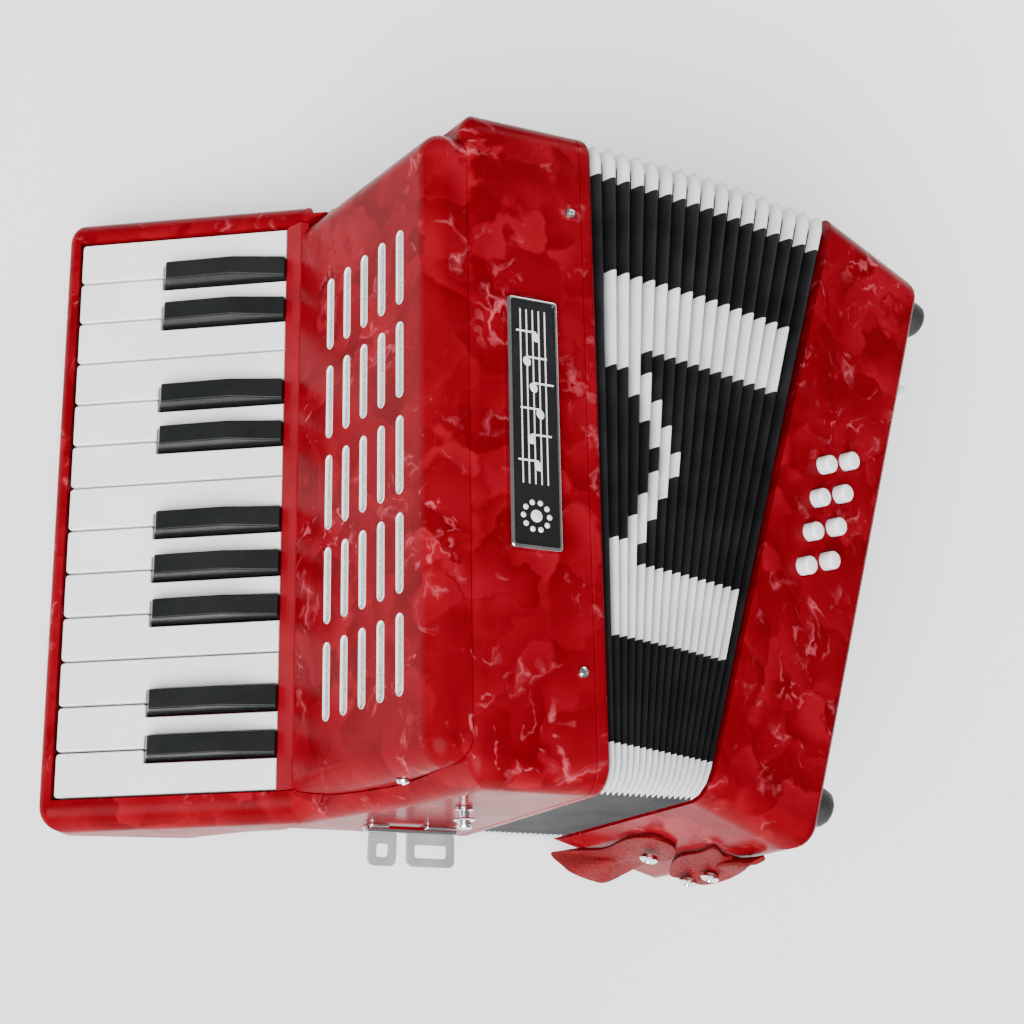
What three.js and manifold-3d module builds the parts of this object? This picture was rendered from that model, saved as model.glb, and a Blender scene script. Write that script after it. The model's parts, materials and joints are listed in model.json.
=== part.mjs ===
// Piano accordion with 22 treble keys and 8 bass buttons, its bellows fanned open at the chin end.
//
// Units are millimetres. The accordion's own frame has x from the keyboard towards the bass side,
// y from the foot end towards the chin end (0 is half way up the body) and z out of the front, with
// z = 0 on the treble casing's back. The finished group lies on its back, tilted about y so that the
// keyboard's underside and the bass box's back corner both touch the floor, z = 0.
import * as THREE from "three";
import { mergeVertices } from "three/addons/utils/BufferGeometryUtils.js";
import Module from "manifold-3d";

const wasm = await Module();
wasm.setup();

const radians = THREE.MathUtils.degToRad;

// ---- driving dimensions ----
const keyPitch = 18; // one white key and its gap
const whiteCount = 13;
const blackAfter = [1, 2, 4, 5, 7, 8, 9, 11, 12]; // white keys, counted from the chin end
const keyGap = 0.8;
const whiteLength = 88.2; // the part of a white key that shows
const blackStart = 36.2; // from a white key's outer end to a black key's tip
const blackWidth = 9;
const keySlope = radians(34.2);
const keyEndZ = -25; // height of the white keys' outer ends
const axle = { s: 112, h: -6, r: 1.5 };

const bodyHeight = 258;
const bodyDepth = 130;
const bodyFillet = 11;
const wall = 4;
const gap = 0.3; // between touching pieces
const splitX = 84; // keyboard frame ends and treble casing begins
const creaseX = 107.4; // grille cover ends and the casing's front begins
const seamX = 155; // treble casing ends and its bellows frame begins
const frameWidth = 5.5; // of either bellows frame, along x

const bellowsClosed = 39.5; // between the frames along the foot edge
const restFan = radians(16.8); // how far the bellows stand open at the chin end
const pleats = 17;
const pleatDepth = 12;
const clothWall = 5; // of a fold, measured along its depth

const bassWidth = 57;
const bassCorner = 14;
const bassFlare = [256, 261]; // its height at the bellows and at its outer end
const bassSlope = radians(15.7); // of the front, down towards the outer end
const endPlate = 2.7;
const lieTilt = radians(8.4);

const half = bodyHeight / 2;
const pivotX = seamX + frameWidth + bellowsClosed;
const keysHalf = (whiteCount * keyPitch) / 2;

// ---- finishes ----
const finish = (color, roughness, metalness = 0) => ({ color, roughness, metalness });
const PEARL = finish(0xb3161f, 0.25);
const RED = finish(0xc21a1a, 0.5);
const LEATHER = finish(0xa31820, 0.7);
const IVORY = finish(0xeceef0, 0.3);
const EBONY = finish(0x2a2e2e, 0.4);
const CHROME = finish(0xc9ccd0, 0.2, 1);
const MESH = finish(0xb9bcbf, 0.45, 0.8);
const BLACK = finish(0x151515, 0.5);
const WOOD = finish(0xc79a63, 0.6);
const ALUMINIUM = finish(0xa9adb0, 0.4, 0.9);
const CLOTH = finish(0x17181a, 0.6);

// ---- solids ----
function solid(geometry) {
  const bare = geometry.clone();
  bare.deleteAttribute("normal");
  bare.deleteAttribute("uv");
  const merged = mergeVertices(bare, 1e-4);
  const vertProperties = Float32Array.from(merged.attributes.position.array);
  const triVerts = Uint32Array.from(merged.index.array);
  return new wasm.Manifold(new wasm.Mesh({ numProp: 3, vertProperties, triVerts }));
}

function geometryOf(body) {
  const { vertProperties, triVerts, numProp } = body.getMesh();
  const positions = new Float32Array((vertProperties.length / numProp) * 3);
  for (let i = 0; i < positions.length / 3; i++) {
    for (let axis = 0; axis < 3; axis++) {
      positions[3 * i + axis] = vertProperties[numProp * i + axis];
    }
  }
  const geometry = new THREE.BufferGeometry();
  geometry.setAttribute("position", new THREE.BufferAttribute(positions, 3));
  geometry.setIndex(Array.from(triVerts));
  geometry.computeVertexNormals();
  return geometry;
}

function box(x0, x1, y0, y1, z0, z1) {
  const geometry = new THREE.BoxGeometry(x1 - x0, y1 - y0, z1 - z0);
  geometry.translate((x0 + x1) / 2, (y0 + y1) / 2, (z0 + z1) / 2);
  return solid(geometry);
}

const shapeOf = (points) => new THREE.Shape(points.map(([a, b]) => new THREE.Vector2(a, b)));

function roundedRect(a0, a1, b0, b1, r) {
  const shape = new THREE.Shape();
  shape.moveTo(a0 + r, b0);
  shape.lineTo(a1 - r, b0);
  shape.absarc(a1 - r, b0 + r, r, -Math.PI / 2, 0);
  shape.lineTo(a1, b1 - r);
  shape.absarc(a1 - r, b1 - r, r, 0, Math.PI / 2);
  shape.lineTo(a0 + r, b1);
  shape.absarc(a0 + r, b1 - r, r, Math.PI / 2, Math.PI);
  shape.lineTo(a0, b0 + r);
  shape.absarc(a0 + r, b0 + r, r, Math.PI, Math.PI * 1.5);
  return shape;
}

// A shape drawn in (x, z) and extruded from y0 to y1, its ends rounded by fillet.
function alongY(shape, y0, y1, fillet = 0) {
  const geometry = new THREE.ExtrudeGeometry(shape, {
    depth: y1 - y0 - 2 * fillet,
    bevelEnabled: fillet > 0,
    bevelThickness: fillet,
    bevelSize: fillet,
    bevelOffset: -fillet,
    bevelSegments: 3,
    curveSegments: 4,
  });
  geometry.rotateX(Math.PI / 2);
  geometry.translate(0, y1 - fillet, 0);
  return solid(geometry);
}

// A shape drawn in (y, z) and extruded from x0 to x1.
function alongX(shape, x0, x1) {
  const geometry = new THREE.ExtrudeGeometry(shape, {
    depth: x1 - x0,
    bevelEnabled: false,
    curveSegments: 4,
  });
  const turn = new THREE.Matrix4().makeBasis(
    new THREE.Vector3(0, 1, 0),
    new THREE.Vector3(0, 0, 1),
    new THREE.Vector3(1, 0, 0),
  );
  geometry.applyMatrix4(turn);
  geometry.translate(x0, 0, 0);
  return solid(geometry);
}

// A shape drawn in (x, y) and extruded from z0 to z1.
function alongZ(shape, z0, z1, curveSegments = 4) {
  const options = { depth: z1 - z0, bevelEnabled: false, curveSegments };
  const geometry = new THREE.ExtrudeGeometry(shape, options);
  geometry.translate(0, 0, z0);
  return solid(geometry);
}

function cylinderAlongY(x, z, r, y0, y1, sides = 12) {
  const geometry = new THREE.CylinderGeometry(r, r, y1 - y0, sides);
  geometry.translate(x, (y0 + y1) / 2, z);
  return solid(geometry);
}

function cylinderAlongX(y, z, r, x0, x1, sides = 16) {
  const geometry = new THREE.CylinderGeometry(r, r, x1 - x0, sides);
  geometry.rotateZ(Math.PI / 2);
  geometry.translate((x0 + x1) / 2, y, z);
  return solid(geometry);
}

// ---- scene graph: the lying accordion, and the frames that its parts are drawn in ----
const accordion = new THREE.Group();
const keyboard = new THREE.Group(); // (s, y, h): along the keys, across them, and up from their tops
keyboard.position.set(0, 0, keyEndZ);
keyboard.rotation.y = -keySlope;
accordion.add(keyboard);
const bassSide = new THREE.Group(); // x outwards from the bellows, y up from the foot end
bassSide.position.set(pivotX, -half, 0);
bassSide.rotation.z = -restFan;
accordion.add(bassSide);
const bassFront = new THREE.Group(); // x down the sloping front, z out of it
bassFront.position.set(0, 0, bodyDepth);
bassFront.rotation.y = bassSlope;
bassSide.add(bassFront);

function add(group, name, body, look) {
  const mesh = new THREE.Mesh(geometryOf(body), new THREE.MeshStandardMaterial(look));
  mesh.name = name;
  group.add(mesh);
  return mesh;
}

// The (x, z) of a point given along the keys and up from their tops, and the other way round.
const fromKeys = (s, h) => [
  s * Math.cos(keySlope) - h * Math.sin(keySlope),
  keyEndZ + s * Math.sin(keySlope) + h * Math.cos(keySlope),
];
const toKeys = (x, z) => [
  x * Math.cos(keySlope) + (z - keyEndZ) * Math.sin(keySlope),
  -x * Math.sin(keySlope) + (z - keyEndZ) * Math.cos(keySlope),
];

// ---- treble body: keyboard frame and casing, cut from one rounded block ----
const floorTouchX = 330; // the bass box's far back corner
const onFloor = (x) => [x, -(floorTouchX - x) * Math.tan(lieTilt)];
const shoulder = [
  [creaseX - 1, bodyDepth],
  [103.5, 110],
  [98.5, 85],
  [88, 60],
];
const trebleOutline = [
  onFloor(5.4),
  onFloor(60),
  [78, -12],
  [92, 0],
  [seamX, 0],
  [seamX, bodyDepth],
  ...shoulder,
  fromKeys(93.5, 1),
  fromKeys(-6.4, 1),
];
const trebleBlock = alongY(shapeOf(trebleOutline), -half, half, bodyFillet);
const crossSection = roundedRect(-half, half, 0, bodyDepth, bodyFillet);
const bigX = 400;

const coverReach = 122.5; // half length of the grille cover
const cavityHalf = coverReach + gap;
const bedDepth = 15; // of the key bed below the white keys' tops

function keyboardFrame() {
  const wellHalf = keysHalf + 0.6;
  const well = shapeOf([
    fromKeys(-0.8, -bedDepth),
    fromKeys(140, -bedDepth),
    fromKeys(140, 60),
    fromKeys(-0.8, 60),
  ]);
  const hollow = shapeOf([
    [24, -40.5],
    [59, -35.2],
    [75, -9],
    [splitX + 5, 2],
    [splitX + 5, 15],
    [24, -27],
  ]);
  const coverSeat = shapeOf([
    fromKeys(88.5, 1.5),
    [splitX + 1, 20],
    [splitX + 1, 90],
    [60, 90],
  ]);
  return trebleBlock
    .intersect(box(-60, splitX - gap, -bigX, bigX, -bigX, bigX))
    .subtract(alongY(well, -wellHalf, wellHalf))
    .subtract(alongY(coverSeat, -cavityHalf, cavityHalf))
    .subtract(alongY(hollow, -half + 16, half - 16));
}

function trebleCasing() {
  const coverSeat = shapeOf([
    [creaseX + gap, bodyDepth + 20],
    [creaseX + gap, bodyDepth - 12],
    [splitX, 50],
    [50, 50],
    [50, bodyDepth + 20],
  ]);
  return trebleBlock
    .intersect(box(splitX, bigX, -bigX, bigX, -bigX, bigX))
    .intersect(alongX(crossSection, splitX - 1, seamX - gap))
    .subtract(box(splitX - 1, seamX + 1, -cavityHalf, cavityHalf, wall, bodyDepth - wall))
    .subtract(alongY(coverSeat, -cavityHalf, cavityHalf));
}

add(accordion, "keyboard_frame", keyboardFrame(), PEARL);
add(accordion, "treble_casing", trebleCasing(), PEARL);

// ---- grille cover, its slots and the metal mesh behind them ----
const lip = [76.8, 33]; // the cover's lower edge, beside the keys
const ridge = [91.5, 126]; // where its slotted face meets the front
const grilleAngle = Math.atan2(ridge[1] - lip[1], ridge[0] - lip[0]);
const coverSkin = 2.5;
const slots = { columns: 5, rows: 5, first: 24.8, across: 13, pitch: 37, length: 30, width: 4.8, top: 82 };

const grilleFace = new THREE.Matrix4()
  .makeTranslation(lip[0], 0, lip[1])
  .multiply(new THREE.Matrix4().makeRotationY(-grilleAngle)); // x up the slotted face, z out of it

function slotCutters() {
  const cutters = [];
  for (let column = 0; column < slots.columns; column++) {
    for (let row = 0; row < slots.rows; row++) {
      const a = slots.first + column * slots.across;
      const top = slots.top - row * slots.pitch;
      const r = slots.width / 2;
      const outline = roundedRect(a - r, a + r, top - slots.length, top, r - 0.01);
      const cutter = new THREE.ExtrudeGeometry(outline, {
        depth: 3 * coverSkin,
        bevelEnabled: false,
        curveSegments: 1,
      });
      cutter.translate(0, 0, -2 * coverSkin);
      cutter.applyMatrix4(grilleFace);
      cutters.push(solid(cutter));
    }
  }
  return cutters;
}

function grilleCover() {
  const outline = shapeOf([
    lip,
    ridge,
    [94.5, bodyDepth - 1],
    [creaseX, bodyDepth - 1],
    [creaseX - 0.8, 113],
    [102, 86],
    [91.5, 60],
    [81, 34],
  ]);
  const inside = shapeOf([
    [lip[0] + coverSkin + 0.3, 20],
    [lip[0] + coverSkin + 0.3, lip[1] + 2],
    [ridge[0] + coverSkin - 0.2, ridge[1] - 1.5],
    [95.6, bodyDepth - 1 - coverSkin],
    [creaseX + 5, bodyDepth - 1 - coverSkin],
    [creaseX + 5, 20],
  ]);
  const reach = coverReach - coverSkin;
  let cover = alongY(outline, -coverReach, coverReach).subtract(alongY(inside, -reach, reach));
  for (const cutter of slotCutters()) cover = cover.subtract(cutter);
  return cover;
}

function grilleMesh() {
  const meshHalf = 104;
  const geometry = new THREE.BoxGeometry(74, 2 * meshHalf, 0.8);
  geometry.translate(50, slots.top - slots.length - 2 * slots.pitch + 15, -coverSkin - gap - 0.7);
  geometry.applyMatrix4(grilleFace);
  return solid(geometry);
}

add(accordion, "grille_cover", grilleCover(), PEARL);
add(accordion, "grille_mesh", grilleMesh(), MESH);

// ---- pieces on the treble front ----
const plate = { x0: 121.4, x1: 142, y0: -44.5, y1: 52.2, thick: 3 };
const plateOutline = roundedRect(plate.x0, plate.x1, plate.y0, plate.y1, 1.2);
add(
  accordion,
  "name_plate",
  alongZ(plateOutline, bodyDepth + gap, bodyDepth + gap + plate.thick, 2),
  BLACK,
);

// A plain red strip closes the gap between the keys' inner ends and the grille cover.
const stripOutline = shapeOf([
  [88.9, -1.2],
  [95.2, 3.6],
  [97.8, 1],
  [97.8, -1.2],
]);
add(keyboard, "key_slot_strip", alongY(stripOutline, -keysHalf - gap, keysHalf + gap), RED);

// ---- treble action: axle, keys, foundation plate and reed block ----
add(
  keyboard,
  "key_axle",
  cylinderAlongY(axle.s, axle.h, axle.r, -coverReach, coverReach, 8),
  CHROME,
);

const levelTop = -3.2; // underside of a key's playing plate
const levelLow = -9;
const padX = seamX - 37.5; // the face of the foundation plate that the pads close on

// A key's lever: under the playing plate, over the axle and up to the pad.
const leverOutline = (start) => [
  [start, levelTop + 0.2],
  [start, levelLow],
  [117, levelLow],
  toKeys(padX - 2, 50),
  toKeys(padX - 2, 78),
  toKeys(padX - 4.5, 78),
  toKeys(padX - 5, 53),
  [108, levelTop + 0.2],
];
const padOutline = [
  toKeys(padX - 2.4, 48),
  toKeys(padX, 48),
  toKeys(padX, 80),
  toKeys(padX - 2.4, 80),
];

function lever(y, start) {
  const arm = alongY(shapeOf(leverOutline(start)), y - 3, y + 3);
  const pad = alongY(shapeOf(padOutline), y - 3.8, y + 3.8);
  const bore = cylinderAlongY(axle.s, axle.h, axle.r + 0.35, y - 5, y + 5, 8);
  return arm.add(pad).subtract(bore);
}

const boundaryY = (count) => keysHalf - count * keyPitch; // below the count-th white key

function whiteKey(count) {
  const top = boundaryY(count - 1) - keyGap / 2;
  const bottom = boundaryY(count) + keyGap / 2;
  const notch = blackWidth / 2 + 1 - keyGap / 2;
  const upper = top - (blackAfter.includes(count - 1) ? notch : 0);
  const lower = bottom + (blackAfter.includes(count) ? notch : 0);
  const outline = [
    [0, bottom],
    [blackStart - 0.7, bottom],
    [blackStart - 0.7, lower],
    [whiteLength, lower],
    [whiteLength, upper],
    [blackStart - 0.7, upper],
    [blackStart - 0.7, top],
    [0, top],
  ].filter(([s, y], i, all) => i === 0 || s !== all[i - 1][0] || y !== all[i - 1][1]);
  const playing = alongZ(shapeOf(outline), levelTop, 0);
  return playing.add(lever((upper + lower) / 2, 4));
}

function blackKey(count) {
  const y = boundaryY(count);
  const side = [
    [blackStart, levelTop],
    [blackStart, 0.8],
    [blackStart + 2.6, 7.4],
    [67, 8],
    [72.5, 5.4],
    [whiteLength, 5],
    [whiteLength, levelTop],
  ];
  const body = alongY(shapeOf(side), y - blackWidth / 2, y + blackWidth / 2);
  return body.add(lever(y, blackStart + 1));
}

for (let count = 1; count <= whiteCount; count++) {
  add(keyboard, `white_key_${count}`, whiteKey(count), IVORY);
}
blackAfter.forEach((count, i) => add(keyboard, `black_key_${i + 1}`, blackKey(count), EBONY));

function foundationPlate() {
  const board = box(padX + gap, padX + gap + 4, -cavityHalf + gap, cavityHalf - gap, wall + gap, 108);
  const centres = [];
  for (let count = 1; count <= whiteCount; count++) centres.push(boundaryY(count) + keyPitch / 2);
  let plateBody = board;
  for (const y of centres) {
    plateBody = plateBody.subtract(box(padX - 5, padX + 9, y - 2.4, y + 2.4, 52, 76));
  }
  return plateBody;
}

// One bar of reed cells, open on the side away from the foundation plate.
function reedBlock(x0, x1, y0, y1, z0, z1, cells) {
  let bar = box(x0, x1, y0, y1, z0, z1);
  const pitch = (y1 - y0 - 3) / cells;
  for (let i = 0; i < cells; i++) {
    const start = y0 + 3 + i * pitch;
    bar = bar.subtract(box(x0 + 4, x1 + 1, start, start + pitch - 3, z0 + 3, z1 - 3));
  }
  return bar;
}

add(accordion, "treble_foundation_plate", foundationPlate(), WOOD);
add(
  accordion,
  "treble_reed_block",
  reedBlock(padX + 4 + 2 * gap, seamX - 4, -112, 112, 46, 82, 11),
  ALUMINIUM,
);

// ---- bellows frames and bellows ----
function bellowsFrame(x0, outer) {
  const inset = 9;
  const opening = roundedRect(
    outer.low + inset,
    outer.high - inset,
    inset,
    bodyDepth - inset,
    bodyFillet - 6,
  );
  const rim = roundedRect(outer.low, outer.high, 0, bodyDepth, bodyFillet);
  return alongX(rim, x0, x0 + frameWidth).subtract(alongX(opening, x0 - 1, x0 + frameWidth + 1));
}

add(
  accordion,
  "treble_bellows_frame",
  bellowsFrame(seamX, { low: -half, high: half }),
  PEARL,
);
add(
  bassSide,
  "bass_bellows_frame",
  bellowsFrame(0.001, { low: 0, high: bodyHeight }),
  PEARL,
);

// The bellows wall is a folded sleeve. A station runs from 0 at the treble frame to 1 at the bass
// frame, and its ring is turned about its own foot edge by that share of the fan angle. Fanned walls
// are twisted, so both skins are split along the same diagonals and keep their distance.
function bellowsSleeve() {
  const edge = 1;
  const stations = 2 * pleats;
  const ringPoints = (inset) => {
    const r = Math.max(bodyFillet - inset, 2);
    return roundedRect(-half + inset, half - inset, inset, bodyDepth - inset, r).getPoints(1);
  };
  const place = (point, share) => {
    const start = gap / bellowsClosed;
    const along = start + share * (1 - 2 * start);
    const angle = along * restFan;
    const up = point.y0 + half;
    return [
      seamX + frameWidth + along * bellowsClosed + up * Math.sin(angle),
      -half + up * Math.cos(angle),
      point.z0,
    ];
  };
  const rings = [];
  for (const skin of [0, clothWall]) {
    for (let i = 0; i <= stations; i++) {
      const inset = edge + skin + (i % 2 === 0 ? pleatDepth : 0);
      const points = ringPoints(inset).slice(0, -1);
      rings.push(points.map((p) => place({ y0: p.x, z0: p.y }, i / stations)));
    }
  }
  const count = rings[0].length;
  const positions = rings.flat(2);
  const index = [];
  const quad = (a, b, c, d) => index.push(a, b, c, a, c, d);
  const at = (ring, k) => ring * count + (k % count);
  const last = stations;
  const inner = stations + 1;
  for (let k = 0; k < count; k++) {
    for (let i = 0; i < last; i++) {
      quad(at(i, k), at(i, k + 1), at(i + 1, k + 1), at(i + 1, k));
      quad(at(inner + i, k), at(inner + i + 1, k), at(inner + i + 1, k + 1), at(inner + i, k + 1));
    }
    quad(at(inner, k), at(inner, k + 1), at(0, k + 1), at(0, k));
    quad(at(last, k), at(last, k + 1), at(inner + last, k + 1), at(inner + last, k));
  }
  const geometry = new THREE.BufferGeometry();
  geometry.setAttribute("position", new THREE.Float32BufferAttribute(positions, 3));
  geometry.setIndex(index);
  return solid(geometry);
}

add(accordion, "bellows", bellowsSleeve(), CLOTH);

// ---- bass box ----
const bassOutline = () => {
  const shape = new THREE.Shape();
  shape.moveTo(frameWidth + gap, 0);
  shape.lineTo(bassWidth - bassCorner, 0);
  shape.absarc(bassWidth - bassCorner, bassCorner, bassCorner, -Math.PI / 2, 0);
  shape.lineTo(bassWidth, bassFlare[1] - bassCorner);
  shape.absarc(bassWidth - bassCorner, bassFlare[1] - bassCorner, bassCorner, 0, Math.PI / 2);
  shape.lineTo(frameWidth + gap, bassFlare[0]);
  return shape;
};
const frontZ = (x) => bodyDepth - x * Math.tan(bassSlope);

const bassButtons = { columns: [22.8, 34.8], rows: 4, first: 104.2, pitch: 14.9, stagger: 7.9 };
const button = { r: 3.6, proud: 5, play: 0.5 };

function buttonPlaces() {
  const places = [];
  bassButtons.columns.forEach((x, column) => {
    for (let row = 0; row < bassButtons.rows; row++) {
      const y = bassButtons.first + column * bassButtons.stagger + row * bassButtons.pitch;
      places.push([x, y]);
    }
  });
  return places;
}

const frontToBox = new THREE.Matrix4()
  .makeTranslation(0, 0, bodyDepth)
  .multiply(new THREE.Matrix4().makeRotationY(bassSlope));

function buttonRod(x, y, r, low, high) {
  const rod = new THREE.CylinderGeometry(r, r, high - low, 14);
  rod.rotateX(Math.PI / 2);
  rod.translate(x, y, (low + high) / 2);
  return rod;
}

function bassBlock() {
  const cross = roundedRect(0, bassFlare[1], 0, bodyDepth, bodyFillet);
  const slope = shapeOf([
    [frameWidth + gap, frontZ(frameWidth + gap)],
    [bassWidth + 10, frontZ(bassWidth + 10)],
    [bassWidth + 10, bodyDepth + 10],
    [frameWidth + gap, bodyDepth + 10],
  ]);
  return alongZ(bassOutline(), 0, bodyDepth)
    .intersect(alongX(cross, 0, bassWidth + 1))
    .subtract(alongY(slope, -1, bassFlare[1] + 1));
}

function bassCasing(block) {
  const inner = bassWidth - endPlate - gap;
  const hollow = shapeOf([
    [0, wall],
    [bassWidth + 1, wall],
    [bassWidth + 1, frontZ(bassWidth + 1) - wall],
    [0, frontZ(0) - wall],
  ]);
  let casing = block
    .intersect(box(-1, inner, -1, bassFlare[1] + 1, -1, bodyDepth + 1))
    .subtract(alongY(hollow, bassCorner - 8, bassFlare[0] - bassCorner + 8));
  for (const [x, y] of buttonPlaces()) {
    const hole = buttonRod(x, y, button.r + button.play, -2 * wall, 2 * wall);
    hole.applyMatrix4(frontToBox);
    casing = casing.subtract(solid(hole));
  }
  return casing;
}

const airButton = { y: 210, z: 100, r: 5, stem: 2.5 };

function bassEnd(block) {
  const { y, z, stem } = airButton;
  const hole = cylinderAlongX(y, z, stem + 0.5, bassWidth - endPlate - 2, bassWidth + 2);
  return block
    .intersect(box(bassWidth - endPlate, bassWidth + 1, -1, bassFlare[1] + 1, -1, bodyDepth))
    .subtract(hole);
}

const bassSolid = bassBlock();
add(bassSide, "bass_casing", bassCasing(bassSolid), PEARL);
add(bassSide, "bass_end_plate", bassEnd(bassSolid), PEARL);
add(bassSide, "bass_reed_block", reedBlock(8, 34, 40, 218, 30, 62, 8), ALUMINIUM);

// Each button is a round rod that slides through the sloping front.
buttonPlaces().forEach(([x, y], i) => {
  const rod = buttonRod(x, y, button.r, -wall - 8, button.proud);
  add(bassFront, `bass_button_${i + 1}`, solid(rod), IVORY);
});

// A guide board under the front, drilled for the buttons.
function guideBoard() {
  let board = box(12, 46, 92, 170, -wall - 6, -wall - 4);
  for (const [x, y] of buttonPlaces()) {
    const hole = buttonRod(x, y, button.r + button.play, -wall - 9, -wall - 1);
    board = board.subtract(solid(hole));
  }
  return board;
}
add(bassFront, "button_guide_board", guideBoard(), ALUMINIUM);

// ---- bass end: rubber feet, hand strap and air button ----
const foot = { r: 8, height: 11, y: [24, bassFlare[1] - 12], z: [30, 99] };
foot.z.forEach((z, i) => {
  foot.y.forEach((y, j) => {
    const end = bassWidth + gap;
    const geometry = new THREE.CylinderGeometry(foot.r - 1.2, foot.r, foot.height, 16);
    geometry.rotateZ(-Math.PI / 2);
    geometry.translate(end + foot.height / 2, y, z);
    add(bassSide, `rubber_foot_${2 * i + j + 1}`, solid(geometry), BLACK);
  });
});

const strap = { y0: 46, y1: 190, bulge: 15, z0: 38, z1: 80, thick: 3 };
function handStrap() {
  const steps = 12;
  const arch = (t) => Math.sin(Math.PI * t) ** 1.2;
  const rise = (t, lift) => bassWidth + gap + lift + strap.bulge * arch(t);
  const along = (t) => strap.y0 + (strap.y1 - strap.y0) * t;
  const outer = [];
  const under = [];
  for (let i = 0; i <= steps; i++) {
    const t = i / steps;
    outer.push([rise(t, strap.thick), along(t)]);
    under.push([rise(t, 0), along(t)]);
  }
  const tabs = 10;
  const outline = [
    [bassWidth + gap, strap.y0 - tabs],
    [bassWidth + gap + strap.thick, strap.y0 - tabs],
    ...outer,
    [bassWidth + gap + strap.thick, strap.y1 + tabs],
    [bassWidth + gap, strap.y1 + tabs],
    ...under.reverse(),
  ];
  return alongZ(shapeOf(outline), strap.z0, strap.z1);
}
add(bassSide, "hand_strap", handStrap(), LEATHER);

function airButtonBody() {
  const { y, z, r, stem } = airButton;
  const cap = cylinderAlongX(y, z, r, bassWidth + 4.6, bassWidth + 8.6);
  return cap.add(cylinderAlongX(y, z, stem, bassWidth - 9, bassWidth + 5));
}
add(bassSide, "air_button", airButtonBody(), IVORY);

// ---- leather bellows straps, unsnapped, curling off the foot end of the bass box ----
function bellowsStrap(x0, x1, drops) {
  const top = drops.map(([z, y]) => [z, y]);
  const under = drops.map(([z, y]) => [z, y - 2.4]).reverse();
  const shape = shapeOf([...top, ...under].map(([z, y]) => [y, z]));
  return alongX(shape, x0, x1);
}
const innerDrops = [
  [2, -2],
  [14, -6],
  [30, -7.5],
  [46, -5],
  [56, -2],
  [68, -gap],
];
const outerDrops = [
  [34, -7],
  [46, -5.5],
  [58, -3],
  [72, -gap],
  [84, -1.5],
  [96, -6],
];
add(bassSide, "bellows_strap_inner", bellowsStrap(2, 25, innerDrops), LEATHER);
add(bassSide, "bellows_strap_outer", bellowsStrap(29, 53, outerDrops), LEATHER);

// ---- fittings on the treble foot and chin ends ----
const footEnd = -half - gap;
const strapBar = { x0: 104, x1: 144, z: 32 };
add(
  accordion,
  "shoulder_strap_bar",
  box(strapBar.x0, strapBar.x1, footEnd - 2.4, footEnd, strapBar.z - 3, strapBar.z + 3),
  CHROME,
);
function strapLoop(x0, x1) {
  const low = footEnd - 15.5;
  const high = footEnd - 2.4 - gap;
  const sheet = box(x0, x1, low, high, strapBar.z - 0.8, strapBar.z + 0.8);
  return sheet.subtract(box(x0 + 3.4, x1 - 3.4, low + 3.4, low + 8.6, -bigX, bigX));
}
add(accordion, "strap_loop_outer", strapLoop(103.5, 117), CHROME);
add(accordion, "strap_loop_inner", strapLoop(120.5, 142), CHROME);
add(
  accordion,
  "bellows_snap_stud",
  cylinderAlongY(124.4, 84, 3.4, footEnd - 8, footEnd),
  CHROME,
);
function upperBracket() {
  const plateBody = box(116, 150, half + gap, half + gap + 2.4, 22, 40);
  const loop = box(120, 146, half + gap + 2, half + gap + 14, 29, 32);
  return plateBody.add(loop).subtract(box(125, 141, half + gap + 5, half + gap + 10, 20, 42));
}
add(accordion, "upper_strap_bracket", upperBracket(), CHROME);
add(
  accordion,
  "cover_screw",
  cylinderAlongY(96.4, 94, 2.6, -coverReach - gap - 2.2, -coverReach - gap, 12),
  CHROME,
);

// ---- lay it on its back, centred over the floor's origin ----
const lying = new THREE.Group();
lying.add(accordion);
accordion.rotation.y = lieTilt;
lying.updateMatrixWorld(true);
const bounds = new THREE.Box3().setFromObject(lying, true);
const centre = bounds.getCenter(new THREE.Vector3());
accordion.position.set(-centre.x, -centre.y, -bounds.min.z);

export default lying;
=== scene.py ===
# Looks of a piano accordion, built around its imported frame. Blender 4.5.
#
# Pieces are drawn in millimetres in the accordion's own frames, as its CAD is: BODY (x from the keys to
# the bass side, y to the chin end, z out of the front), KEYS (s along the keys, y across, h up from their
# tops), BASS (x outwards from the bellows, y up from the foot end) and FRONT (on the bass box's slope).
import json
import math

import bmesh
import bpy
import numpy as np
from mathutils import Matrix, Vector


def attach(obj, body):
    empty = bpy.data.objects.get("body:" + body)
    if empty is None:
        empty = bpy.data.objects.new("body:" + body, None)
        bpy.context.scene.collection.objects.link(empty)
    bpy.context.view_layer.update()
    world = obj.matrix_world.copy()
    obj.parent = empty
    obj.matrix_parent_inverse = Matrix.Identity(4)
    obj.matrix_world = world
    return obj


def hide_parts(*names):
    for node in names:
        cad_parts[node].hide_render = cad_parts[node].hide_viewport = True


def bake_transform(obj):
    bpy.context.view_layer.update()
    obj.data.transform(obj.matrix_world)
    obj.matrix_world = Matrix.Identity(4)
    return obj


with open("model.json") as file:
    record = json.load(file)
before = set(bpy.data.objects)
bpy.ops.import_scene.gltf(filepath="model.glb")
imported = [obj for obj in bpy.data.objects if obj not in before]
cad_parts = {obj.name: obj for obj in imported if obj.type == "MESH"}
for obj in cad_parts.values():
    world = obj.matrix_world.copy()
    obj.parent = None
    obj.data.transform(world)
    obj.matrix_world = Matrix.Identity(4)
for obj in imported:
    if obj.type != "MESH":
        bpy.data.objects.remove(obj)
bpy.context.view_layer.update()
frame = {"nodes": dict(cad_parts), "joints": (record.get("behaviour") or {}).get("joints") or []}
scene = bpy.context.scene
joints = {joint["name"]: joint for joint in frame["joints"]}

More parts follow.
